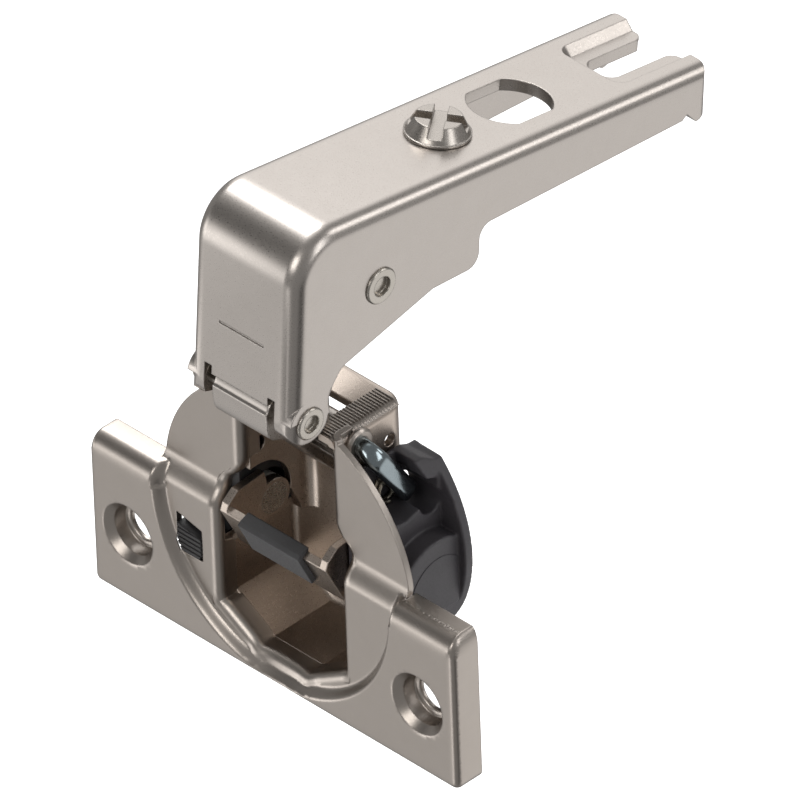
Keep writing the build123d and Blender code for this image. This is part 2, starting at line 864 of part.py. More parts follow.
with BuildPart() as cover:
    with BuildSketch(Plane.YZ.offset(drum_end - 0.6)):
        with Locations((drum_y, drum_z)):
            Circle(cover_r)
    extrude(amount=0.6)
    with BuildSketch(front(-1)):
        Circle(house_r - 0.05)
    extrude(amount=-30, mode=Mode.INTERSECT)
save(cover, "damper_cover")

# Damper rotor: a sleeve on the shaft with three vanes, in the chamber
with BuildPart() as rotor:
    with BuildSketch(Plane.YZ.offset(10.4)):
        with Locations((s_y, s_z)):
            Circle(2.1)
            with PolarLocations(1.0, 3):
                Rectangle(2.9, 0.7)
        with Locations((s_y, s_z)):
            Circle(2.52, mode=Mode.INTERSECT)
            Circle(shaft_r, mode=Mode.SUBTRACT)
    extrude(amount=3.2)
save(rotor, "damper_rotor")

# Seal ring that closes the chamber round the shaft
with BuildPart() as seal:
    with BuildSketch(Plane.YZ.offset(8.5)):
        with Locations((s_y, s_z)):
            Circle(chamber_r)
            Circle(shaft_r + run_fit, mode=Mode.SUBTRACT)
    extrude(amount=1.6)
save(seal, "damper_seal")

# Left housing, the mirrored form without a drum
with BuildPart() as house_left:
    with BuildSketch(Plane.YZ.offset(-house_face)):
        with BuildLine():
            Polyline(
                (house_front, -14.0),
                (house_front, 10.2),
                (6.2, 12.0),
                (12.0, 12.0),
                (house_back, 9.5),
                (house_back, -9.0),
                (12.0, -14.0),
                close=True,
            )
        make_face()
        fillet(vertices().filter_by(lambda v: v.X > 10), 1.5)
    extrude(amount=house_face - house_in)
    with BuildSketch(Plane.YZ.offset(-drum_end + 0.8)):
        with Locations((drum_y, drum_z)):
            Circle(drum_r)
        with Locations((house_front - 6, 0), (house_back + 6, 0)):
            Rectangle(12, 60, mode=Mode.SUBTRACT)
    extrude(amount=drum_end - 0.8 - house_in)
    with BuildSketch(front(-1)):
        Circle(house_r)
    extrude(amount=-30, mode=Mode.INTERSECT)
    add(tub_room.part.mirror(Plane.YZ), mode=Mode.SUBTRACT)
    with BuildSketch(Plane.YZ.offset(-house_in + 0.5)):
        with Locations((s_y, s_z)):
            Circle(3.2)
    extrude(amount=-4.8, mode=Mode.SUBTRACT)
    with BuildSketch(Plane.YZ.offset(-house_in + 0.5)):
        with Locations((s_y, s_z)):
            Circle(shaft_r + run_fit)
    extrude(amount=-6.4, mode=Mode.SUBTRACT)
    # room for the switch's stem
    with BuildSketch(front(0)):
        with Locations(((slot_left + slot_right) / 2, (slot_top + slot_bottom) / 2 + 0.6)):
            Rectangle(3.4, 7.4)
    extrude(amount=-(house_front + 2.6), mode=Mode.SUBTRACT)
save(house_left, "spring_housing")

# Bush that carries the shaft in the left housing's pocket
with BuildPart() as bush:
    with BuildSketch(Plane.YZ.offset(-house_in - 1.0)):
        with Locations((s_y, s_z)):
            Circle(2.4)
            Circle(shaft_r + run_fit, mode=Mode.SUBTRACT)
    extrude(amount=0.9)
save(bush, "shaft_bush")

# Lever return spring, a coil round the shaft in the left housing
with BuildPart() as return_spring:
    with BuildLine() as coil_line:
        Helix(pitch=1.0, height=2.0, radius=2.3, center=(-12.2, s_y, s_z), direction=(1, 0, 0))
    with BuildSketch(Plane(origin=coil_line.line @ 0, z_dir=coil_line.line % 0)):
        RegularPolygon(0.3, 8)
    sweep()
save(return_spring, "lever_return_spring")

# Closing spring: a coil on the cup pin's lower leg at each side of the inner link
with BuildPart() as spring_coil:
    with BuildLine() as coil_line:
        Helix(pitch=0.75, height=1.45, radius=1.46, center=(-6.2, q2_y, q2_z), direction=(1, 0, 0))
    with BuildSketch(Plane(origin=coil_line.line @ 0, z_dir=coil_line.line % 0)):
        RegularPolygon(0.34, 8)
    sweep()

with BuildPart() as closing_spring:
    add(spring_coil.part)
    add(Pos(10.95, 0, 0) * spring_coil.part)
save(closing_spring, "closing_spring")

# Buffer coil in the right housing's opening
with BuildPart() as buffer_spring:
    with BuildLine() as coil_line:
        Helix(pitch=0.95, height=2.9, radius=1.5, center=(9.0, coil_y, coil_z), direction=(1, 0, 0))
    with BuildSketch(Plane(origin=coil_line.line @ 0, z_dir=coil_line.line % 0)):
        RegularPolygon(0.4, 8)
    sweep()
save(buffer_spring, "buffer_spring")

# Deactivation switch
switch_play = 1.3
with BuildPart() as switch:
    with BuildSketch(front(recess_depth - 0.15)):
        with BuildLine():
            Polyline(
                (slot_left + 0.12, slot_top - switch_play - 0.5),
                (slot_right - 0.12, slot_top - switch_play - 1.3),
                (slot_right - 0.12, slot_bottom + 0.12),
                (slot_left + 0.75, slot_bottom + 0.12),
                (slot_left + 0.12, slot_bottom + 1.3),
                close=True,
            )
        make_face()
        fillet(vertices().filter_by(lambda v: v.Y < slot_bottom + 0.2), 0.7)
    extrude(amount=-1.7)
    with BuildSketch(front(recess_depth + cup_sheet + 0.05)):
        with Locations(((slot_left + slot_right) / 2, (slot_top + slot_bottom) / 2 - 0.6)):
            Rectangle(3.2, 5.4)
    extrude(amount=-1.5)
    for k in range(5):
        with Locations(((slot_left + slot_right) / 2, recess_depth - 0.15, slot_bottom + 0.7 + 0.6 * k)):
            Box(5, 0.3, 0.25, mode=Mode.SUBTRACT)
save(switch, "deactivation_switch")

# Detent spring behind the switch
with BuildPart() as detent:
    with Locations(((slot_left + slot_right) / 2, house_front + 0.5, -6.2)):
        Box(2.4, 0.25, 4.4)
save(detent, "switch_detent")
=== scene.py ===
import math

import bmesh
import bpy
from mathutils import Matrix, Vector
from mathutils.geometry import delaunay_2d_cdt


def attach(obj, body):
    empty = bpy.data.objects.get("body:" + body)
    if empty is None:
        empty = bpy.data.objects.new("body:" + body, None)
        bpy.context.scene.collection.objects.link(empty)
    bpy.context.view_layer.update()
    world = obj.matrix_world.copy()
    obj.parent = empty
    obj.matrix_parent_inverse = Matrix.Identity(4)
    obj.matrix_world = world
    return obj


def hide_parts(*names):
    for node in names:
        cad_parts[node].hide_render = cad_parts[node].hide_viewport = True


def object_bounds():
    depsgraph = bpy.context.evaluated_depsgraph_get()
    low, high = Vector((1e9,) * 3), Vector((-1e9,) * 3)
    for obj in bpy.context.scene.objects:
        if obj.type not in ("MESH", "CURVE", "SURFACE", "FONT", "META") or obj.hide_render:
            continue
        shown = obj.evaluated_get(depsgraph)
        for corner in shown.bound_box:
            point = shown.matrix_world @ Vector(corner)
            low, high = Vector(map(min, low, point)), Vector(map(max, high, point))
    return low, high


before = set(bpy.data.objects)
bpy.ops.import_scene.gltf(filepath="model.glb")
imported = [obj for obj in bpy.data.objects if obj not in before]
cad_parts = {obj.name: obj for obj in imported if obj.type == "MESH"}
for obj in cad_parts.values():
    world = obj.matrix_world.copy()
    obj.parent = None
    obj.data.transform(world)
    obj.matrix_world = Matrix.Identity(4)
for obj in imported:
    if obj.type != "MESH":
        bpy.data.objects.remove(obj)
cad_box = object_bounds()

MM = 0.001

# Camera, fitted to the photograph: an almost parallel view
TOWARD = Vector((0.5774, -0.5527, 0.6011)).normalized()
RIGHT = Vector((0.7071, 0.7065, -0.0296)).normalized()
UP = TOWARD.cross(RIGHT).normalized()
PIXELS_PER_MM = 9.155
IMAGE_PIXELS = 800
CENTRE_RIGHT_MM = 14.32
CENTRE_UP_MM = 16.41
CAMERA_DISTANCE = 2.5
SENSOR_MM = 36.0

# Floor below the part, and the radius at which edges are rounded in the shading, in metres
FLOOR_DROP = 0.030
EDGE_ROUND = 0.00022
EDGE_SAMPLES = 6

# Materials: sizes of the noise patterns, heights of the grain in metres, and the part of a
# noise's range that is used
NOISE_RANGE = (0.3, 0.7)
MOTTLE_SCALE = 380.0
SPECK_SCALE = 7000.0
SPECK_SHARE = 0.55
METAL_RELIEF = 0.00001
PATCH_SCALE = 260.0
ROUGH_SPREAD = 0.06
PLASTIC_RELIEF = 0.00003


def new_material(name, base, metallic, roughness):
    material = bpy.data.materials.new(name)
    material.use_nodes = True
    nodes = material.node_tree.nodes
    shader = nodes["Principled BSDF"]
    shader.inputs["Base Color"].default_value = (*base, 1.0)
    shader.inputs["Metallic"].default_value = metallic
    shader.inputs["Roughness"].default_value = roughness
    return material, shader


def object_coordinates(material):
    node = material.node_tree.nodes.new("ShaderNodeTexCoord")
    return node.outputs["Object"]


def noise(material, vector, scale, detail=3.0, roughness=0.6):
    node = material.node_tree.nodes.new("ShaderNodeTexNoise")
    node.inputs["Scale"].default_value = scale
    node.inputs["Detail"].default_value = detail
    node.inputs["Roughness"].default_value = roughness
    material.node_tree.links.new(vector, node.inputs["Vector"])
    return node.outputs["Fac"]


def ramp(material, factor, low, high):
    node = material.node_tree.nodes.new("ShaderNodeMapRange")
    node.inputs["From Min"].default_value = NOISE_RANGE[0]
    node.inputs["From Max"].default_value = NOISE_RANGE[1]
    node.inputs["To Min"].default_value = low
    node.inputs["To Max"].default_value = high
    material.node_tree.links.new(factor, node.inputs["Value"])
    return node.outputs["Result"]


def tint(material, factor, dark, light):
    node = material.node_tree.nodes.new("ShaderNodeMix")
    node.data_type = "RGBA"
    node.inputs[6].default_value = (*dark, 1.0)
    node.inputs[7].default_value = (*light, 1.0)
    material.node_tree.links.new(factor, node.inputs[0])
    return node.outputs[2]


def bump(material, shader, height, strength, distance):
    node = material.node_tree.nodes.new("ShaderNodeBump")
    node.inputs["Strength"].default_value = strength
    node.inputs["Distance"].default_value = distance
    material.node_tree.links.new(height, node.inputs["Height"])
    material.node_tree.links.new(node.outputs["Normal"], shader.inputs["Normal"])
    return node


def soft_edges(material, relief):
    node = material.node_tree.nodes.new("ShaderNodeBevel")
    node.samples = EDGE_SAMPLES
    node.inputs["Radius"].default_value = EDGE_ROUND
    material.node_tree.links.new(node.outputs["Normal"], relief.inputs["Normal"])


def plated_metal(name, dark, light, rough_low, rough_high, grain):
    material, shader = new_material(name, light, 1.0, rough_high)
    links = material.node_tree.links
    place = object_coordinates(material)
    mottle = noise(material, place, MOTTLE_SCALE, 4.0, 0.65)
    speck = noise(material, place, SPECK_SCALE, 2.0, 0.5)
    mixed = material.node_tree.nodes.new("ShaderNodeMath")
    mixed.operation = "MULTIPLY_ADD"
    mixed.inputs[1].default_value = SPECK_SHARE
    links.new(speck, mixed.inputs[0])
    rest = material.node_tree.nodes.new("ShaderNodeMath")
    rest.operation = "MULTIPLY"
    rest.inputs[1].default_value = 1 - SPECK_SHARE
    links.new(mottle, rest.inputs[0])
    links.new(rest.outputs[0], mixed.inputs[2])
    colour = tint(material, ramp(material, mixed.outputs[0], 0.0, 1.0), dark, light)
    links.new(colour, shader.inputs["Base Color"])
    links.new(ramp(material, speck, rough_low, rough_high), shader.inputs["Roughness"])
    relief = bump(material, shader, speck, grain, METAL_RELIEF)
    soft_edges(material, relief)
    return material


def moulded_plastic(name, dark, light, roughness, grain_scale, strength):
    material, shader = new_material(name, light, 0.0, roughness)
    links = material.node_tree.links
    place = object_coordinates(material)
    patch = noise(material, place, PATCH_SCALE, 3.0)
    grain = noise(material, place, grain_scale, 2.0, 0.7)
    links.new(tint(material, ramp(material, patch, 0.0, 1.0), dark, light), shader.inputs["Base Color"])
    rough = ramp(material, grain, roughness - ROUGH_SPREAD, roughness + ROUGH_SPREAD)
    links.new(rough, shader.inputs["Roughness"])
    soft_edges(material, bump(material, shader, grain, strength, PLASTIC_RELIEF))
    return material


# Painted shade: the cup's copy of the nickel plate is darker than the arm's and the pins', standing in for
# the shade on the cup's front faces; the flange, ridges and pin collar carry it too.
nickel_cup_painted_shade = plated_metal("cup_nickel_painted_shade", (0.415, 0.375, 0.34), (0.445, 0.405, 0.37), 0.28, 0.38, 0.14)
nickel_arm = plated_metal("arm_nickel", (0.46, 0.425, 0.395), (0.49, 0.455, 0.425), 0.26, 0.36, 0.14)
# Painted light: the pot's copy of the nickel plate is lighter and warmer, standing in for warm light
# reflected between the walls inside the pot; the damper lever carries it too.
nickel_pot_painted_light = plated_metal("pot_nickel_painted_light", (0.48, 0.415, 0.36), (0.52, 0.45, 0.395), 0.26, 0.36, 0.12)
pin_metal = plated_metal("pin_nickel", (0.44, 0.41, 0.37), (0.48, 0.45, 0.41), 0.22, 0.32, 0.08)
screw_metal = plated_metal("screw_nickel", (0.40, 0.37, 0.34), (0.44, 0.41, 0.38), 0.24, 0.34, 0.08)
zinc_wire = plated_metal("wire_zinc", (0.24, 0.28, 0.30), (0.29, 0.34, 0.36), 0.10, 0.20, 0.1)
spring_wire = plated_metal("spring_wire", (0.30, 0.27, 0.22), (0.38, 0.35, 0.29), 0.22, 0.36, 0.2)
housing = moulded_plastic("housing_plastic", (0.040, 0.037, 0.042), (0.048, 0.044, 0.050), 0.50, 4200.0, 0.25)
black_housing = moulded_plastic(
    "left_housing_plastic", (0.020, 0.020, 0.021), (0.026, 0.026, 0.027), 0.5, 4200.0, 0.25
)
bumper_plastic = moulded_plastic(
    "bumper_plastic", (0.046, 0.046, 0.048), (0.055, 0.055, 0.058), 0.58, 3800.0, 0.3
)
switch_plastic = moulded_plastic(
    "switch_plastic", (0.022, 0.021, 0.022), (0.030, 0.029, 0.030), 0.5, 3800.0, 0.25
)
pale_plastic = moulded_plastic("inner_plastic", (0.50, 0.50, 0.47), (0.57, 0.57, 0.54), 0.5, 3800.0, 0.2)
seal_rubber = moulded_plastic("seal_rubber", (0.02, 0.02, 0.02), (0.03, 0.03, 0.03), 0.7, 3000.0, 0.3)

LOOKS = {
    "cup": nickel_cup_painted_shade,
    "cup_pin": zinc_wire,
    "cup_pin_collar": nickel_cup_painted_shade,
    "damper_housing": housing,
    "damper_cover": housing,
    "damper_rotor": pale_plastic,
    "damper_seal": seal_rubber,
    "damper_shaft": pin_metal,
    "lever_pivot": pin_metal,
    "damper_lever": nickel_pot_painted_light,
    "lever_bumper": bumper_plastic,
    "spring_housing": black_housing,
    "shaft_bush": pale_plastic,
    "lever_return_spring": spring_wire,
    "closing_spring": spring_wire,
    "buffer_spring": spring_wire,
    "deactivation_switch": switch_plastic,
    "switch_detent": spring_wire,
    "inner_link": nickel_arm,
    "outer_link": nickel_arm,
    "arm": nickel_arm,
    "lower_arm_pin": pin_metal,
    "upper_arm_pin": pin_metal,
    "side_adjusting_screw": screw_metal,
}
for node_name, look in LOOKS.items():
    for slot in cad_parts[node_name].material_slots:
        slot.material = look

# Helpers for visual pieces, in millimetres until they become meshes


def mesh_piece(name, points, faces, look, body=None):
    mesh = bpy.data.meshes.new(name)
    mesh.from_pydata([tuple(c * MM for c in p) for p in points], [], faces)
    mesh.validate()
    piece = bpy.data.objects.new(name, mesh)
    bpy.context.scene.collection.objects.link(piece)
    build = bmesh.new()
    build.from_mesh(mesh)
    bmesh.ops.recalc_face_normals(build, faces=build.faces)
    build.to_mesh(mesh)
    build.free()
    mesh.materials.append(look)
    if body:
        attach(piece, body)
    return piece


def smooth_shape(piece, limit_deg):
    build = bmesh.new()
    build.from_mesh(piece.data)
    for face in build.faces:
        face.smooth = True
    for edge in build.edges:
        if len(edge.link_faces) == 2:
            edge.smooth = edge.calc_face_angle(0.0) < math.radians(limit_deg)
    build.to_mesh(piece.data)
    build.free()


def ring_faces(first, rows, ring):
    """Faces between rows of points, each row closed into a ring."""
    faces = []
    for row in range(rows - 1):
        low = first + row * ring
        for k in range(ring):
            following = (k + 1) % ring
            faces.append((low + k, low + following, low + ring + following, low + ring + k))
    return faces


def strip_faces(first, rows, width):
    """Faces between rows of points, each row open at its ends."""
    faces = []
    for row in range(rows - 1):
        for k in range(width - 1):
            low = first + row * width + k
            faces.append((low, low + 1, low + width + 1, low + width))
    return faces


def tube(name, points, ring, look, body=None):
    """A closed body over rows of points, each row a ring."""
    rows = len(points) // ring
    ends = [tuple(range(ring)), tuple(range((rows - 1) * ring, rows * ring))]
    return mesh_piece(name, points, ends + ring_faces(0, rows, ring), look, body)


def prism(name, outline, x_low, x_high, look):
    """A closed outline in Y and Z, drawn out along X."""
    points = [(x, y, z) for x in (x_low, x_high) for y, z in outline]
    return tube(name, points, len(outline), look)


def front_prism(name, outline, y_low, y_high, look):
    """A closed outline in X and Z, drawn out along Y."""
    points = [(x, y, z) for y in (y_low, y_high) for x, z in outline]
    return tube(name, points, len(outline), look)


def circle(centre, radius, steps=72):
    turns = [2 * math.pi * k / steps for k in range(steps)]
    return [(centre[0] + radius * math.cos(t), centre[1] + radius * math.sin(t)) for t in turns]


def arc(centre, radius, start_deg, end_deg, steps):
    turns = [math.radians(start_deg + (end_deg - start_deg) * k / steps) for k in range(steps + 1)]
    return [(centre[0] + radius * math.cos(t), centre[1] + radius * math.sin(t)) for t in turns]


def rounded(corners, radius, steps=6):
    """A closed outline with each corner rounded."""
    result = []
    count = len(corners)
    for k in range(count):
        corner = Vector(corners[k])
        before = (Vector(corners[k - 1]) - corner).normalized()
        after = (Vector(corners[(k + 1) % count]) - corner).normalized()
        half = before.angle(after) / 2
        reach = min(
            radius / math.tan(half),
            (Vector(corners[k - 1]) - corner).length * 0.48,
            (Vector(corners[(k + 1) % count]) - corner).length * 0.48,
        )
        start = corner + before * reach
        end = corner + after * reach
        for step in range(steps + 1):
            t = step / steps
            point = start * (1 - t) ** 2 + corner * 2 * t * (1 - t) + end * t**2
            result.append((point.x, point.y))
    return result


def rectangle(half_wide, low, high):
    return ((-half_wide, low), (half_wide, low), (half_wide, high), (-half_wide, high))


def ease(value, low, high):
    """0 below low, 1 above high, and a smooth change between them."""
    t = max(0.0, min(1.0, (value - low) / (high - low)))
    return t * t * (3 - 2 * t)


def node_copy(name, node, look):
    piece = bpy.data.objects.new(name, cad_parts[node].data.copy())
    bpy.context.scene.collection.objects.link(piece)
    piece.data.materials.clear()
    piece.data.materials.append(look)
    return piece


def bake(piece):
    view = bpy.context.evaluated_depsgraph_get()
    view.update()
    mesh = bpy.data.meshes.new_from_object(piece.evaluated_get(view))
    piece.modifiers.clear()
    piece.data = mesh


def combine(piece, tool, operation):
    step = piece.modifiers.new(operation.lower(), "BOOLEAN")
    step.operation = operation
    step.object = tool
    step.solver = "EXACT"
    bake(piece)
    bpy.data.objects.remove(tool)


def soften(piece, voxel_mm, rounds):
    """Rounds all edges a little by an even mesh and a smoothing."""
    step = piece.modifiers.new("even", "REMESH")
    step.mode = "VOXEL"
    step.voxel_size = voxel_mm * MM
    step.use_smooth_shade = True
    calm = piece.modifiers.new("calm", "SMOOTH")
    calm.factor = 0.5
    calm.iterations = rounds
    bake(piece)


# Arm: the CAD's folded sheet with a rounded tip and rounded fork ends.
# s runs along the arm from the lower arm pin, and t square to it, upward.
LOWER_PIN = (-0.64, 21.8)
TILT = math.radians(5.0)
ARM_HALF = 8.0
ARM_END = 61.1
LEG_FRONT = -2.96
TIP_BEND = 1.9
TIP_TOP = 0.6
TIP_LOW = -4.0
TIP_MIDDLE = -0.1
TIP_HALF = 2.85
TIP_DEEP = 2.55
TIP_STEPS = 20
SLOT_HALF = 2.2
PRONG_OUTER_R = 1.5
PRONG_INNER_R = 1.3
FORK_LOW = 8.0
FORK_HIGH = 26.0
CLEAR_X = 10
CLEAR_S = 6.0


def on_arm(s, t):
    y = LOWER_PIN[0] + s * math.cos(TILT) + t * math.sin(TILT)
    z = LOWER_PIN[1] - s * math.sin(TILT) + t * math.cos(TILT)
    return (y, z)


def corner_cut(x_edge, s_edge, x_way, s_way, radius, low_t, high_t):
    """What lies outside a rounded corner of the arm, seen along t."""
    centre = (x_edge - x_way * radius, s_edge - s_way * radius)
    section = [(x_edge + x_way, s_edge + s_way), (x_edge + x_way, centre[1])]
    for x, s in arc((0.0, 0.0), radius, 0, 90, 10):
        section.append((centre[0] + x_way * x, centre[1] + s_way * s))
    section.append((centre[0], s_edge + s_way))
    points = [(x, *on_arm(s, t)) for t in (low_t, high_t) for x, s in section]
    return tube("corner", points, len(section), nickel_arm)


def arm_piece():
    piece = node_copy("arm_sheet", "arm", nickel_arm)
    ahead = [on_arm(s, t) for s, t in ((-9, -7), (LEG_FRONT, -7), (LEG_FRONT, 4), (-9, 4))]
    combine(piece, prism("ahead", ahead, -CLEAR_X, CLEAR_X, nickel_arm), "DIFFERENCE")
    below = [(-CLEAR_S, 0.0), (TIP_MIDDLE - TIP_HALF, 0.0)]
    for k in range(1, TIP_STEPS):
        turn = math.pi * k / TIP_STEPS
        below.append((TIP_MIDDLE - TIP_HALF * math.cos(turn), -TIP_DEEP * math.sin(turn)))
    below += [(TIP_MIDDLE + TIP_HALF, 0.0), (CLEAR_S, 0.0), (CLEAR_S, -CLEAR_S), (-CLEAR_S, -CLEAR_S)]
    below = [on_arm(s, t) for s, t in below]
    combine(piece, prism("below", below, -CLEAR_X, CLEAR_X, nickel_arm), "DIFFERENCE")
    for side in (-1, 1):
        for corner in (
            (side * ARM_HALF, LEG_FRONT, side, -1, TIP_BEND, TIP_LOW, TIP_TOP),
            (side * ARM_HALF, ARM_END, side, 1, PRONG_OUTER_R, FORK_LOW, FORK_HIGH),
            (side * SLOT_HALF, ARM_END, -side, 1, PRONG_INNER_R, FORK_LOW, FORK_HIGH),
        ):
            combine(piece, corner_cut(*corner), "DIFFERENCE")
    smooth_shape(piece, 28)
    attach(piece, "arm")
    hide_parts("arm")
    return piece


arm_piece()

# Cup flange: one drawn sheet with rolled edges, given as a depth behind the front plane
WING_X = 28.3
WING_TOP = 1.8
WING_LOW = -18.7
SKIRT_END = 3.9
TOP_ROLL = 2.3
LOW_ROLL = 1.0
END_ROLL = 0.9
FULL_ROLL = 0.9985
ROLL_END_X = WING_X - END_ROLL
ROLL_TOP_Z = WING_TOP - TOP_ROLL
ROLL_LOW_Z = WING_LOW + LOW_ROLL
RECESS_Y = 1.3
RECESS_STEP = (17.3, 18.5)
SHOULDER_Z = -1.0
SHOULDER_STEP = (17.6, 18.7)
LOBE_Y = 2.9
LOBE_R = 19.0
LOBE_RISE = (-0.3, 3.0)
LOBE_FOOT_X = 18.88
SHEET = 1.0
BACK_SHARE = 0.8
HOLE_X = 22.5
HOLE_Z = -9.5
SINK_R = 3.9
SINK_RING = 64
SINK_PROFILE = (
    (SINK_R, 0.0),
    (3.82, 0.06),
    (3.14, 0.86),
    (3.04, 0.95),
    (2.98, 2.3),
    (2.85, 2.52),
    (2.3, 2.62),
    (2.18, 2.75),
    (2.15, 3.2),
)
SWITCH_SLOT = ((-15.9, -3.5), (-12.0, -4.4), (-12.0, -8.6), (-15.3, -8.6), (-15.9, -7.4))
SLOT_ROUND = 0.12
# window's left half from the neck down: half widths, heights and sizes of the edge's roll
NECK = (7.0, 17.55, 1.4)
NECK_STEP = 0.4
NECK_STEPS = 28
NECK_EDGE_X = 8.4
NECK_FOOT = ((7.1, 6.0, 1.2), (7.5, 5.2, 1.0), (8.3, 4.3, 0.8), (9.1, 3.6, 0.9), (9.5, 2.8, 1.1))
SIDE = (9.6, 2.0, 1.2)
SIDE_STEP = 0.5
SIDE_STEPS = 29
SLOPE_HEAD = (9.5, -12.8)
SLOPE_START = (9.6, -12.5)
SLOPE_RUN = (5.8, -3.5)
SLOPE_STEPS = 10
SLOPE_FOOT = ((3.95, -15.9), (3.5, -16.02))
BASE = (3.0, -16.05)
BASE_STEP = 0.5
BASE_ROLL = 1.3
EDGE_DEEP = 1.6
EDGE_STEPS = 6
ROLL_STEP = 0.004
TUB_TOP = 5.6
TUB_LOW = -5.0
# mesh of the flat drawing: spacing of its points, and how near the outline they may come
GRID = 0.24
CROWDED = 0.1
RIM_STEP = 0.4
ROLL_TURNS = (15, 28, 40, 50, 60, 68, 75, 82)
LONG_ROW = 340
SHORT_ROW = 100
CORNER_STEPS = 40
LOBE_STEPS = 60
CORNERS = ((ROLL_TOP_Z, TOP_ROLL, 0), (ROLL_LOW_Z, LOW_ROLL, 270))
ROW_INSET = 0.7
LOBE_SIDE_X = 17.0
BEND_BAND = (16.8, 19.0)
SHOULDER_BAND = (-1.0, 3.6, 19.2)
RIM_GAP = 0.02
TOUCH = 0.001
ARC_SAG = 0.004
ROLL_LIMIT = 1.0005
MERGE = 0.0005
WELD = 0.002
ABOVE_ALL = 25.0


def roll_depth(x, z):
    """Depth of the wings' rolled rim at a point."""
    across = max(0.0, abs(x) - ROLL_END_X) / END_ROLL
    up = max(0.0, z - ROLL_TOP_Z) / TOP_ROLL
    down = max(0.0, ROLL_LOW_Z - z) / LOW_ROLL
    reach = math.hypot(across, max(up, down))
    if reach <= 0:
        return 0.0
    size = (across * END_ROLL + up * TOP_ROLL + down * LOW_ROLL) / (across + up + down)
    if reach > FULL_ROLL:
        return size
    return size * (1 - math.sqrt(1 - reach * reach))


def sheet_depth(x, z):
    """Depth of the sheet's front: rolled wings outside, recess and raised lobe inside."""
    inside = 1 - ease(math.hypot(x, z), *RECESS_STEP)
    wing = roll_depth(x, z)
    middle_depth = RECESS_Y
    if z > SHOULDER_Z:
        middle_depth = RECESS_Y + (LOBE_Y - RECESS_Y) * ease(z, *LOBE_RISE)
        inside = max(inside, 1 - ease(abs(x), *SHOULDER_STEP))
    if z > WING_TOP + TOUCH:
        inside = 1.0
    low_rim = wing if z < ROLL_LOW_Z else 0.0
    return max(wing * (1 - inside) + middle_depth * inside, low_rim)


def window_edge():
    """Points of the window's edge with the roll's size, from the left neck round to the right."""
    left = [(-NECK[0], NECK[1] - NECK_STEP * k, NECK[2]) for k in range(NECK_STEPS)]
    left += [(-x, z, roll) for x, z, roll in NECK_FOOT]
    left += [(-SIDE[0], SIDE[1] - SIDE_STEP * k, SIDE[2]) for k in range(SIDE_STEPS)]
    left.append((-SLOPE_HEAD[0], SLOPE_HEAD[1], BASE_ROLL))
    for k in range(1, SLOPE_STEPS):
        x = -SLOPE_START[0] + SLOPE_RUN[0] * k / SLOPE_STEPS
        z = SLOPE_START[1] + SLOPE_RUN[1] * k / SLOPE_STEPS
        left.append((x, z, BASE_ROLL))
    left += [(-x, z, BASE_ROLL) for x, z in SLOPE_FOOT]
    left += [(-BASE[0] + BASE_STEP * k, BASE[1], BASE_ROLL) for k in range(7)]
    right = [(-x, z, roll) for x, z, roll in reversed(left)]
    return left + right[1:]


def roll_starts(edge):
    """Where the window's roll leaves the flat sheet, and its direction into the window."""
    starts = []
    normals = []
    for k, (x, z, roll) in enumerate(edge):
        before = edge[max(k - 1, 0)]
        after = edge[min(k + 1, len(edge) - 1)]
        run = Vector((after[0] - before[0], after[1] - before[1])).normalized()
        normal = Vector((-run.y, run.x))
        normals.append(normal)
        starts.append(Vector((x, z)) - normal * roll)
    return starts, normals


def flange_rim(starts):
    """Closed outline of the flat drawing: wings, lobe and the start of the window's roll."""
    half = []
    for centre_z, size, first, last in ((ROLL_LOW_Z, LOW_ROLL, 270, 180), (ROLL_TOP_Z, TOP_ROLL, 180, 90)):
        for k in range(CORNER_STEPS + 1):
            t = math.radians(first + (last - first) * k / CORNER_STEPS)
            half.append((-ROLL_END_X + END_ROLL * math.cos(t), centre_z + size * math.sin(t)))
    lobe_start = math.acos(-math.sqrt(LOBE_R**2 - WING_TOP**2) / LOBE_R)
    lobe_end = math.atan2(NECK[1], -NECK_EDGE_X)
    for k in range(LOBE_STEPS):
        t = lobe_start + (lobe_end - lobe_start) * k / (LOBE_STEPS - 1)
        half.append((LOBE_R * math.cos(t), LOBE_R * math.sin(t)))
    path = []
    for p in half + [tuple(p) for p in starts] + [(-x, z) for x, z in reversed(half)]:
        if not path or (Vector(p) - Vector(path[-1])).length > RIM_GAP:
            path.append(p)
    rim = []
    for k, place in enumerate(path):
        here = Vector(place)
        following = Vector(path[(k + 1) % len(path)])
        parts = max(1, int((following - here).length / RIM_STEP))
        rim += [tuple(here.lerp(following, j / parts)) for j in range(parts)]
    return rim


def roll_rows():
    """Rows of points over the wings' rolled rim, closer together where it turns down."""
    points = []
    for turn in ROLL_TURNS:
        share = math.sin(math.radians(turn))
        for k in range(LONG_ROW):
            x = -WING_X + ROW_INSET + 2 * (WING_X - ROW_INSET) * k / (LONG_ROW - 1)
            if abs(x) > LOBE_SIDE_X:
                points.append(Vector((x, ROLL_TOP_Z + TOP_ROLL * share)))
            points.append(Vector((x, ROLL_LOW_Z - LOW_ROLL * share)))
        for side in (-1, 1):
            for k in range(SHORT_ROW):
                z = ROLL_LOW_Z + (ROLL_TOP_Z - ROLL_LOW_Z) * k / (SHORT_ROW - 1)
                points.append(Vector((side * (ROLL_END_X + END_ROLL * share), z)))
            for centre_z, size, first in CORNERS:
                for k in range(1, 10):
                    t = math.radians(first + 9 * k)
                    x = side * (ROLL_END_X + END_ROLL * share * math.cos(t))
                    points.append(Vector((x, centre_z + size * share * math.sin(t))))
    return points


def crowded(buckets, x, z):
    column = round(x / GRID)
    row = round(z / GRID)
    for i in (-1, 0, 1):
        for j in (-1, 0, 1):
            for p in buckets.get((column + i, row + j), ()):
                if (p.x - x) ** 2 + (p.y - z) ** 2 < CROWDED * CROWDED:
                    return True
    return False


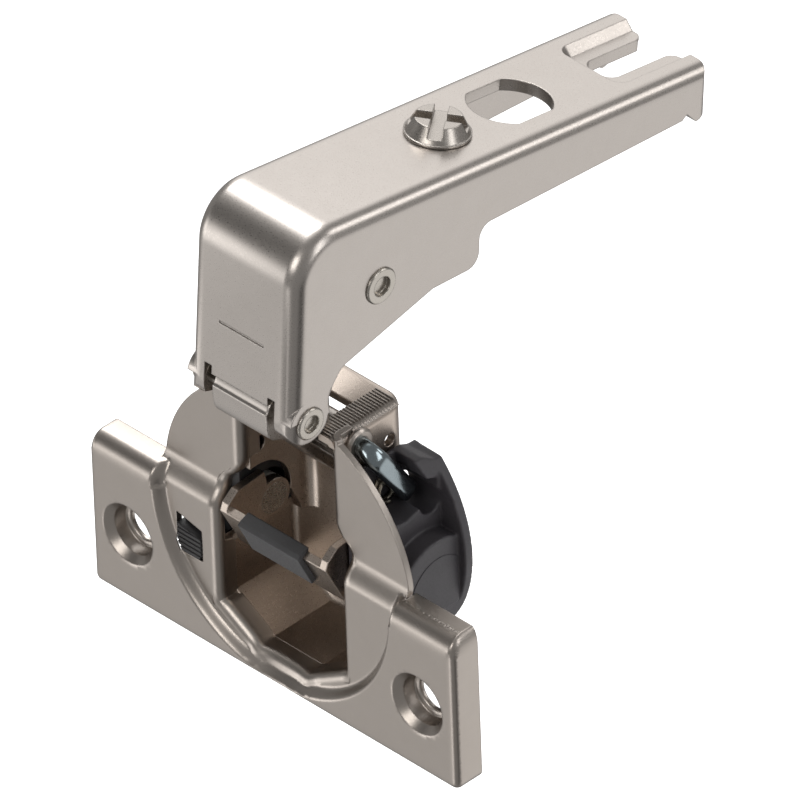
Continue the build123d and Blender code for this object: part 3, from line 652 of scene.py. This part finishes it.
def grid_points(outline_points):
    """Points inside the drawing: dense where the sheet bends, sparse where it is flat."""
    buckets = {}
    for p in outline_points:
        buckets.setdefault((round(p.x / GRID), round(p.y / GRID)), []).append(p)
    points = []
    z = ROLL_LOW_Z + 0.1
    row = 0
    while z < LOBE_R:
        x = -WING_X + END_ROLL + 0.1 + (GRID / 2 if row % 2 else 0)
        while x < ROLL_END_X - 0.05:
            from_axis = math.hypot(x, z)
            on_wing = z < ROLL_TOP_Z - 0.05
            on_lobe = from_axis < LOBE_R - 0.1 and z > ROLL_TOP_Z and (abs(x) < LOBE_SIDE_X or z > WING_TOP)
            on_shoulder = SHOULDER_BAND[0] < z < SHOULDER_BAND[1] and abs(x) < SHOULDER_BAND[2]
            bends = BEND_BAND[0] < from_axis < BEND_BAND[1] or on_shoulder
            sparse = row % 3 == 0 and int(x / GRID) % 3 == 0
            if (on_wing or on_lobe) and (bends or sparse) and not crowded(buckets, x, z):
                points.append(Vector((x, z)))
            x += GRID
        z += GRID
        row += 1
    return points


def in_loop(x, z, loop):
    inside = False
    for k in range(len(loop)):
        ax, az = loop[k - 1]
        bx, bz = loop[k]
        if (az > z) != (bz > z) and x < ax + (z - az) / (bz - az) * (bx - ax):
            inside = not inside
    return inside


def in_sheet(x, z, slot, window):
    """Whether a place of the flat drawing is metal."""
    if z > WING_TOP and math.hypot(x, z) > LOBE_R - ARC_SAG:
        return False
    if math.hypot(abs(x) - HOLE_X, z - HOLE_Z) < SINK_R:
        return False
    if in_loop(x, z, slot) or in_loop(x, z, window):
        return False
    if abs(x) > ROLL_END_X:
        across = (abs(x) - ROLL_END_X) / END_ROLL
        up = max(0.0, z - ROLL_TOP_Z) / TOP_ROLL
        down = max(0.0, ROLL_LOW_Z - z) / LOW_ROLL
        return math.hypot(across, max(up, down)) <= ROLL_LIMIT
    return True


def flat_sheet(rim, starts):
    """Points and faces of the flange's front without skirt, window roll and countersinks."""
    slot = rounded(SWITCH_SLOT, SLOT_ROUND)
    points = []
    edges = []
    holes = [circle((side * HOLE_X, HOLE_Z), SINK_R, SINK_RING) for side in (-1, 1)]
    for loop in (rim, *holes, slot):
        first = len(points)
        points += [Vector(p) for p in loop]
        edges += [(first + k, first + (k + 1) % len(loop)) for k in range(len(loop))]
    points += roll_rows() + grid_points(list(points))
    found, _, triangles, _, _, _ = delaunay_2d_cdt(points, edges, [list(range(len(rim)))], 0, MERGE)
    window = [(-NECK_EDGE_X, ABOVE_ALL)] + [tuple(p) for p in starts] + [(NECK_EDGE_X, ABOVE_ALL)]
    faces = []
    for triangle in triangles:
        x = sum(found[k].x for k in triangle) / len(triangle)
        z = sum(found[k].y for k in triangle) / len(triangle)
        if in_sheet(x, z, slot, window):
            faces.append(tuple(triangle))
    return [(p.x, sheet_depth(p.x, p.y), p.y) for p in found], faces


def on_wing_rim(x, z):
    return z < WING_LOW + 0.5 or (z < WING_TOP + TOUCH and abs(x) > LOBE_FOOT_X)


def add_skirt(shape, faces, rim):
    """The straight skirt behind the wings' rolled rim."""
    for k, here in enumerate(rim):
        following = rim[(k + 1) % len(rim)]
        if on_wing_rim(*here) and on_wing_rim(*following):
            first = len(shape)
            shape += [(x, sheet_depth(x, z), z) for x, z in (here, following)]
            shape += [(x, SKIRT_END, z) for x, z in (following, here)]
            faces.append((first, first + 1, first + 2, first + 3))


def add_window_roll(shape, faces, edge, starts, normals):
    """The rolled edge of the window, drawn on into the tub or cut short at the side windows."""
    first = len(shape)
    for (_, z, roll), start, normal in zip(edge, starts, normals):
        depth = sheet_depth(start.x, start.y)
        deep = EDGE_DEEP if (z > TUB_TOP or z < TUB_LOW) else SHEET - roll * 0.9
        for k in range(EDGE_STEPS + 1):
            t = math.radians(90 * k / EDGE_STEPS)
            place = start + normal * (roll * math.sin(t))
            shape.append((place.x, depth + roll * (1 - math.cos(t)), place.y))
        place = start + normal * (roll + ROLL_STEP)
        shape.append((place.x, depth + roll + max(0.05, deep), place.y))
    faces += strip_faces(first, len(edge), EDGE_STEPS + 2)


def add_countersinks(shape, faces):
    for side in (-1, 1):
        first = len(shape)
        for radius, depth in SINK_PROFILE:
            shape += [(x, depth, z) for x, z in circle((side * HOLE_X, HOLE_Z), radius, SINK_RING)]
        faces += ring_faces(first, len(SINK_PROFILE), SINK_RING)


def weld(piece, front_place):
    """Joins the sheet's parts and turns its faces outward, judged by one face of the front."""
    build = bmesh.new()
    build.from_mesh(piece.data)
    bmesh.ops.remove_doubles(build, verts=build.verts, dist=WELD * MM)
    loose = [v for v in build.verts if not v.link_faces]
    bmesh.ops.delete(build, geom=loose, context="VERTS")
    bmesh.ops.recalc_face_normals(build, faces=build.faces)
    place = Vector(front_place) * MM
    front_face = min(build.faces, key=lambda f: (f.calc_center_median() - place).length)
    if front_face.normal.y > 0:
        bmesh.ops.reverse_faces(build, faces=build.faces)
    build.to_mesh(piece.data)
    build.free()


def flange_piece():
    edge = window_edge()
    starts, normals = roll_starts(edge)
    rim = flange_rim(starts)
    shape, faces = flat_sheet(rim, starts)
    add_skirt(shape, faces, rim)
    add_window_roll(shape, faces, edge, starts, normals)
    add_countersinks(shape, faces)
    piece = mesh_piece("cup_flange", shape, faces, nickel_cup_painted_shade, "cup")
    weld(piece, (26.0, 0.0, -3.0))
    thick = piece.modifiers.new("sheet", "SOLIDIFY")
    thick.thickness = BACK_SHARE * SHEET * MM
    thick.offset = -1.0
    bake(piece)
    smooth_shape(piece, 40)
    return piece


# Pot and tub: the CAD cup without its flange. Half width, low, high, front and back of each room,
# a little apart so that no two faces of the tools lie in one plane
POT_ROOM = (8.02, -4.9, 17.31, 4.3, 14.3)
TUB_BOX = (10.62, -17.02, -3.3, 2.72, 14.29)
TOP_ROOM = (8.01, 16.1, 17.305, 2.93, 14.28)


def room_box(half_wide, low, high, y_low, y_high):
    return front_prism("room", rectangle(half_wide, low, high), y_low, y_high, nickel_cup_painted_shade)


def pot_piece():
    piece = node_copy("cup_pot", "cup", nickel_pot_painted_light)
    room = room_box(*POT_ROOM)
    combine(room, room_box(*TUB_BOX), "UNION")
    combine(room, room_box(*TOP_ROOM), "UNION")
    combine(piece, room, "INTERSECT")
    smooth_shape(piece, 30)
    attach(piece, "cup")
    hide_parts("cup")
    return piece


flange_piece()
pot_piece()

# Double cup pin: one wire bent to a U, its bridge pressed flat
HIGH_LEG = Vector((0.0, 6.4, 15.2))
LOW_LEG = Vector((0.0, 11.8, 7.1))
WIRE_R = 1.05
WIRE_RING = 28
BRIDGE_X = 10.65
BRIDGE_WIDE = 1.28
BRIDGE_THICK = 0.95
BRIDGE_SHIFT = 0.4
BRIDGE_SQUARE = 0.3
LEG_END = -8.2
BEND_R = 1.6
BEND_X = BRIDGE_X - BEND_R
STRAIGHT = (1.2, 0.5)
FLAT_SPAN = BEND_R + 0.4


def wire_track(gap):
    """The wire's centre line: places along X and along the line between both pins."""
    leg = [(LEG_END, 0.0), (0.0, 0.0)] + [(BEND_X - back, 0.0) for back in STRAIGHT]
    bend = [math.radians(90 * k / 12) for k in range(13)]
    track = leg + [(BEND_X + BEND_R * math.sin(t), BEND_R - BEND_R * math.cos(t)) for t in bend]
    track += [(BRIDGE_X, BEND_R + (gap - 2 * BEND_R) * k / 10) for k in range(1, 10)]
    track += [(BEND_X + BEND_R * math.cos(t), gap - BEND_R + BEND_R * math.sin(t)) for t in bend]
    return track + [(x, gap) for x, _ in reversed(leg)]


def u_wire():
    down = (LOW_LEG - HIGH_LEG).normalized()
    side = Vector((1.0, 0.0, 0.0)).cross(down)
    track = wire_track((LOW_LEG - HIGH_LEG).length)
    points = []
    for place, (x, along) in enumerate(track):
        before = Vector(track[max(place - 1, 0)])
        after = Vector(track[min(place + 1, len(track) - 1)])
        run = (after - before).normalized()
        flat_start = BEND_X - STRAIGHT[1]
        flat = ease(x, flat_start, flat_start + FLAT_SPAN)
        outward = Vector((run.y, 0, 0)) - down * run.x
        centre = HIGH_LEG + Vector((x, 0, 0)) + down * along - side * BRIDGE_SHIFT * flat
        wide = WIRE_R + (BRIDGE_WIDE - WIRE_R) * flat
        thick = WIRE_R + (BRIDGE_THICK - WIRE_R) * flat
        power = 1.0 - BRIDGE_SQUARE * flat
        for c, s in circle((0.0, 0.0), 1.0, WIRE_RING):
            a = math.copysign(abs(c) ** power, c) * thick
            b = math.copysign(abs(s) ** power, s) * wide
            points.append(tuple(centre + outward * a + side * b))
    piece = tube("double_pin_wire", points, WIRE_RING, zinc_wire, "cup")
    smooth_shape(piece, 50)
    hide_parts("cup_pin")
    return piece


u_wire()

# Buffer coil beside the pot, behind the wire's bridge
COIL_PLACE = (8.75, 9.1, 8.3)
COIL_R = 1.45
COIL_WIRE_R = 0.3
COIL_RING = 12
COIL_TURNS = 1.75
COIL_PITCH = 0.62
COIL_STEPS = 70


def buffer_coil():
    points = []
    along = Vector((1.0, 0.0, 0.0))
    for k in range(COIL_STEPS + 1):
        turns = COIL_TURNS * k / COIL_STEPS
        outward = Vector((0.0, math.cos(2 * math.pi * turns), math.sin(2 * math.pi * turns)))
        centre = Vector(COIL_PLACE) + along * COIL_PITCH * turns + outward * COIL_R
        for c, s in circle((0.0, 0.0), COIL_WIRE_R, COIL_RING):
            points.append(tuple(centre + outward * c + along * s))
    piece = tube("buffer_coil", points, COIL_RING, spring_wire, "cup")
    smooth_shape(piece, 50)
    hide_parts("buffer_spring")
    return piece


buffer_coil()

# Inner link: a sheet bowed in front of the arm's edge, with an eye at each end
LINK_HALF = 4.2
EYES = ((LOWER_PIN, 2.75, 1.55), ((LOW_LEG.y, LOW_LEG.z), 2.4, 1.1))
BOW_CENTRE = (0.8, 20.8)
BOW_OUTER_R = 4.3
BOW_INNER_R = 3.1


def link_band():
    """Outline of the front plate: outer face down, inner face back up."""
    outer = [(-3.55, 22.5), (-3.5, 21.6)] + arc(BOW_CENTRE, BOW_OUTER_R, 180, 202, 6)
    outer += [(-2.6, 18.55), (-0.56, 17.6), (LOW_LEG.y - 1.83, LOW_LEG.z - 1.55)]
    inner = [(LOW_LEG.y - 0.92, LOW_LEG.z - 0.77), (0.35, 18.36)] + arc(BOW_CENTRE, BOW_INNER_R, 216, 180, 6)
    inner += [(-2.3, 21.6), (-2.35, 22.5)]
    return outer + inner


def inner_link_piece():
    piece = prism("inner_link_sheet", link_band(), -LINK_HALF, LINK_HALF, nickel_arm)
    for centre, radius, bore in EYES:
        combine(piece, prism("eye", circle(centre, radius), -LINK_HALF, LINK_HALF, nickel_arm), "UNION")
        combine(piece, prism("bore", circle(centre, bore), -CLEAR_X, CLEAR_X, nickel_arm), "DIFFERENCE")
    soften(piece, 0.12, 5)
    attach(piece, "inner_link")
    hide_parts("inner_link")
    return piece


inner_link_piece()

# Damper housing: a wall beside the pot with a wire pocket, a drum and a rear rim
HOUSE_IN = 8.4
HOUSE_FACE = 13.5
HOUSE_FRONT = 3.95
HOUSE_BACK = 14.5
HOUSE_LOW = -14.5
HOUSE_R = 17.1
DRUM = (10.2, -2.8)
DRUM_R = 6.5
DRUM_END = 15.95
RIM_FRONT = 13.3
RIM_BACK = 14.48
HOUSE_OUTLINE = (
    (HOUSE_FRONT, HOUSE_LOW),
    (HOUSE_FRONT, 10.2),
    (6.2, 12.2),
    (12.2, 12.1),
    (HOUSE_BACK, 11.0),
    (HOUSE_BACK, 0.0),
    (13.9, -5.05),
    (12.7, -8.2),
    (11.6, HOUSE_LOW),
)
HOUSE_ROUND = 1.1
POCKET_ROUND = 0.7
WIRE_HOLE_R = 1.6
POCKET = (
    (3.0, 14.0),
    (3.6, 8.9),
    (5.6, 6.7),
    (8.0, 6.3),
    (12.9, 7.7),
    (13.0, 9.6),
    (11.3, 10.3),
    (10.6, 14.0),
)
TUB_ROOM = ((0, -3.25), (8.1, -3.25), (9.27, -3.67), (10.7, -5.1), (10.7, -30), (0, -30))
FRONT_TRIM = ((8, -14.6), (17, -14.6), (17, 30), (8, 30))


def damper_body():
    piece = prism("damper_body", rounded(HOUSE_OUTLINE, HOUSE_ROUND), HOUSE_IN, HOUSE_FACE, housing)
    drum = [(min(y, HOUSE_BACK), z) for y, z in circle(DRUM, DRUM_R, 96)]
    rear_rim = [(8.5, 11.6), (8.5, -13.0)] + arc((0, 0), HOUSE_R, -55, 42, 40)
    bore = circle((0, 0), HOUSE_R, 144)
    wire_hole = circle((LOW_LEG.y, LOW_LEG.z), WIRE_HOLE_R)
    combine(piece, prism("drum", drum, HOUSE_IN + 0.3, DRUM_END, housing), "UNION")
    combine(piece, front_prism("rear_rim", rear_rim, RIM_FRONT, RIM_BACK, housing), "UNION")
    combine(piece, front_prism("bore_room", bore, 0, 20, housing), "INTERSECT")
    combine(piece, front_prism("tub_room", TUB_ROOM, -5, 30, housing), "DIFFERENCE")
    combine(piece, prism("pocket", rounded(POCKET, POCKET_ROUND), HOUSE_IN + 0.5, 20, housing), "DIFFERENCE")
    combine(piece, prism("wire_hole", wire_hole, 5, 20, housing), "DIFFERENCE")
    combine(piece, front_prism("front_trim", FRONT_TRIM, -2, HOUSE_FRONT, housing), "DIFFERENCE")
    soften(piece, 0.13, 6)
    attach(piece, "cup")
    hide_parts("damper_housing")
    return piece


damper_body()

# Ridges pressed into the pot's top, over its right bend
POT_HALF = 8.0
POT_TOP = 17.3
TOP_BEND = 1.2
BEND_START = POT_HALF - TOP_BEND
RIDGE_PITCH = 0.45
RIDGE_COUNT = 22
RIDGE_HALF_HIGH = 0.055
RIDGE_STEPS = 6
RIDGE_FRONT = 3.1
RIDGE_LEFT = 4.4


def ridge_strip():
    section = [(RIDGE_LEFT, POT_TOP - 0.02), (BEND_START, POT_TOP)]
    section += arc((BEND_START, POT_TOP - TOP_BEND), TOP_BEND, 84, 30, 6)
    points = []
    steps = RIDGE_STEPS * RIDGE_COUNT
    for k in range(steps + 1):
        y = RIDGE_FRONT + RIDGE_PITCH * RIDGE_COUNT * k / steps
        wave = RIDGE_HALF_HIGH * (1 - math.cos(2 * math.pi * RIDGE_COUNT * k / steps))
        for x, z in section[:-1]:
            lean = max(0.0, x - BEND_START) / TOP_BEND
            points.append((x + wave * lean, y, z + wave * (1 - lean * 0.5)))
        points.append((section[-1][0], y, section[-1][1]))
    faces = strip_faces(0, steps + 1, len(section))
    piece = mesh_piece("pot_ridges", points, faces, nickel_cup_painted_shade, "cup")
    return piece


ridge_strip()

# Floor, well below the part, and soft studio light
low = Vector(cad_box[0])
high = Vector(cad_box[1])
middle = (low + high) / 2
bpy.ops.mesh.primitive_plane_add(size=12.0, location=(0, 0, low.z - FLOOR_DROP))
floor = bpy.context.object
floor.name = "floor"
floor_look, floor_shader = new_material("floor_paint", (0.93, 0.93, 0.93), 0.0, 0.9)
floor_shader.inputs["Emission Color"].default_value = (1.0, 1.0, 1.0, 1.0)
floor_shader.inputs["Emission Strength"].default_value = 0.6
floor.data.materials.append(floor_look)
floor.visible_glossy = False

world = bpy.data.worlds.new("studio")
bpy.context.scene.world = world
world.use_nodes = True
world_nodes = world.node_tree.nodes
world_links = world.node_tree.links
sky_way = world_nodes.new("ShaderNodeTexCoord").outputs["Generated"]


def glow(level, direction, inner_deg, outer_deg, strength):
    """Adds a round soft panel, bright or dark, in one direction of the studio."""
    dot = world_nodes.new("ShaderNodeVectorMath")
    dot.operation = "DOT_PRODUCT"
    dot.inputs[1].default_value = Vector(direction).normalized()
    world_links.new(sky_way, dot.inputs[0])
    edge = world_nodes.new("ShaderNodeMapRange")
    edge.interpolation_type = "SMOOTHSTEP"
    edge.inputs["From Min"].default_value = math.cos(math.radians(outer_deg))
    edge.inputs["From Max"].default_value = math.cos(math.radians(inner_deg))
    edge.inputs["To Min"].default_value = 0.0
    edge.inputs["To Max"].default_value = strength
    world_links.new(dot.outputs["Value"], edge.inputs["Value"])
    total = world_nodes.new("ShaderNodeMath")
    total.operation = "ADD"
    world_links.new(edge.outputs["Result"], total.inputs[0])
    if isinstance(level, float):
        total.inputs[1].default_value = level
    else:
        world_links.new(level, total.inputs[1])
    return total.outputs[0]


# Direction, inner and outer angle in degrees, and strength
PANELS = (
    ((-0.577, -0.553, -0.601), 14, 32, 0.42),
    ((-0.72, -0.69, -0.10), 6, 20, 2.2),
    ((-0.60, -0.62, 0.50), 10, 26, -0.18),
    ((-0.577, 0.710, 0.403), 16, 34, 0.95),
    ((-0.05, -0.80, -0.60), 5, 16, 1.6),
    ((0.80, -0.10, -0.60), 8, 20, -0.25),
    ((0.52, 0.71, 0.50), 6, 14, 3.2),
    ((0.577, 0.553, -0.601), 14, 32, 0.80),
    ((-0.30, 0.20, 0.95), 10, 30, 0.8),
)
BASE_GLOW = 0.32
LEAST_GLOW = 0.03
sky = BASE_GLOW
for panel in PANELS:
    sky = glow(sky, *panel)
never_black = world_nodes.new("ShaderNodeMath")
never_black.operation = "MAXIMUM"
never_black.inputs[1].default_value = LEAST_GLOW
world_links.new(sky, never_black.inputs[0])
world_nodes["Background"].inputs["Color"].default_value = (1.0, 0.99, 0.98, 1.0)
world_links.new(never_black.outputs[0], world_nodes["Background"].inputs["Strength"])


def area_light(name, place, size, power, colour=(1.0, 1.0, 1.0)):
    data = bpy.data.lights.new(name, "AREA")
    data.shape = "RECTANGLE"
    data.size = size[0]
    data.size_y = size[1]
    data.energy = power
    data.color = colour
    lamp = bpy.data.objects.new(name, data)
    bpy.context.scene.collection.objects.link(lamp)
    lamp.location = place
    lamp.rotation_euler = (middle - Vector(place)).to_track_quat("-Z", "Y").to_euler()
    return lamp


area_light("top_left_softbox", (-0.45, 0.25, 0.75), (0.5, 0.5), 3.5)
area_light("front_softbox", (0.10, -0.80, 0.50), (0.5, 0.4), 2.0, (1.0, 0.98, 0.95))
area_light("right_softbox", (0.85, 0.20, 0.35), (0.3, 0.6), 1.5)

camera_data = bpy.data.cameras.new("camera")
camera_data.sensor_width = SENSOR_MM
camera_data.lens = SENSOR_MM * CAMERA_DISTANCE / (IMAGE_PIXELS / PIXELS_PER_MM * MM)
camera_data.clip_start = 0.1
camera_data.clip_end = 20.0
camera = bpy.data.objects.new("camera", camera_data)
bpy.context.scene.collection.objects.link(camera)
target = (RIGHT * CENTRE_RIGHT_MM + UP * CENTRE_UP_MM) * MM
axes = Matrix((RIGHT, UP, TOWARD)).transposed()
camera.matrix_world = Matrix.Translation(target + TOWARD * CAMERA_DISTANCE) @ axes.to_4x4()
bpy.context.scene.camera = camera
bpy.context.scene.view_settings.view_transform = "Standard"
